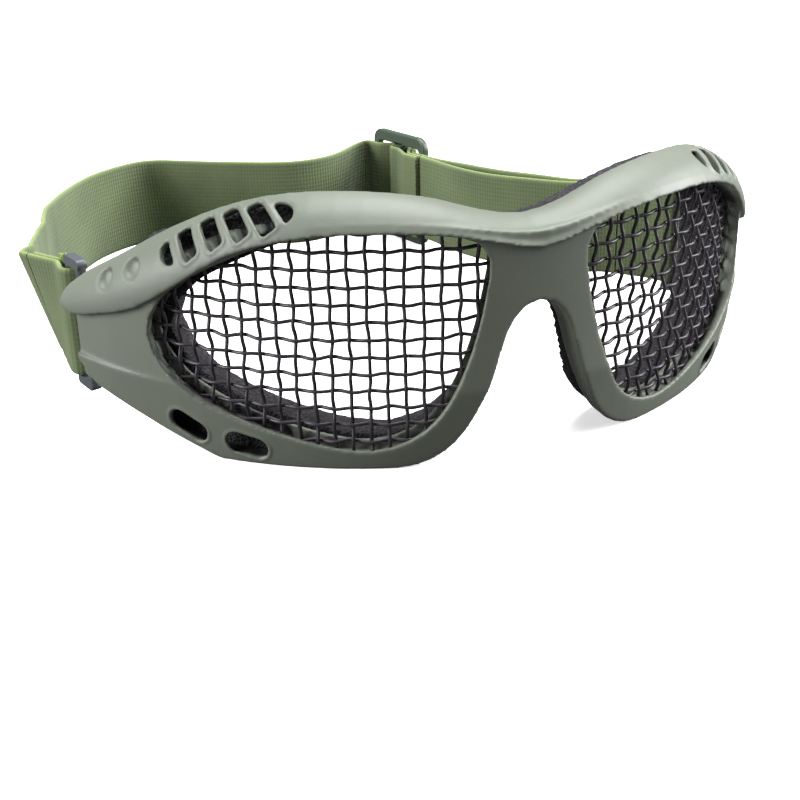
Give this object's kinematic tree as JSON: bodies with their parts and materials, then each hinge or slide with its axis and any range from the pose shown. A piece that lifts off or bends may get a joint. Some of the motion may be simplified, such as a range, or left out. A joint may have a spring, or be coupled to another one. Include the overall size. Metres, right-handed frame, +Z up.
{
  "type": "mesh safety goggles",
  "caption": "Wraparound safety goggles with woven wire mesh lenses, a foam face pad, hinged strap links and an adjustable elastic strap.",
  "frame": {"origin": "centre of the footprint of the whole assembly, strap included, on the table plane it rests on", "axes": "+X to the wearer's left, +Y from the lenses to the back of the strap, +Z up; the two temple hinge pins stand along Z"},
  "size_m": [0.1706, 0.1646, 0.056],
  "materials": {
    "frame": "satin moulded grey-green",
    "wire": "dark coated wire",
    "foam": "open-cell charcoal foam",
    "pin": "plain steel",
    "webbing": "olive woven elastic",
    "buckle": "dark moulded plastic"
  },
  "bodies": {
    "frame": {"frame_shell": "frame", "mesh_lens_left": "wire", "mesh_lens_right": "wire", "foam_pad": "foam", "hinge_pin_left": "pin", "hinge_pin_right": "pin", "strap_band": "webbing", "strap_outer_layer": "webbing", "strap_inner_layer": "webbing"},
    "link_right": {"strap_link_right": "frame", "strap_loop_right": "webbing"},
    "link_left": {"strap_link_left": "frame", "strap_loop_left": "webbing"},
    "adjuster": {"tri_glide": "buckle", "strap_crossing": "webbing", "strap_end_fold": "webbing"}
  },
  "joints": [
    {"name": "right_link_hinge", "type": "hinge", "parent": "frame", "child": "link_right", "pos_m": [-0.07644, -0.0268, 0.02], "axis": [0, 0, 1], "range_deg": [-90, 4], "deforming": ["strap_band"]},
    {"name": "left_link_hinge", "type": "hinge", "parent": "frame", "child": "link_left", "pos_m": [0.078, -0.0268, 0.02], "axis": [0, 0, -1], "range_deg": [-32, 63], "deforming": ["strap_outer_layer", "strap_inner_layer"]},
    {"name": "adjuster_slide", "type": "slide", "parent": "frame", "child": "adjuster", "axis": [0.3007, -0.9537, 0], "range_m": [0, 0.03]}
  ]
}
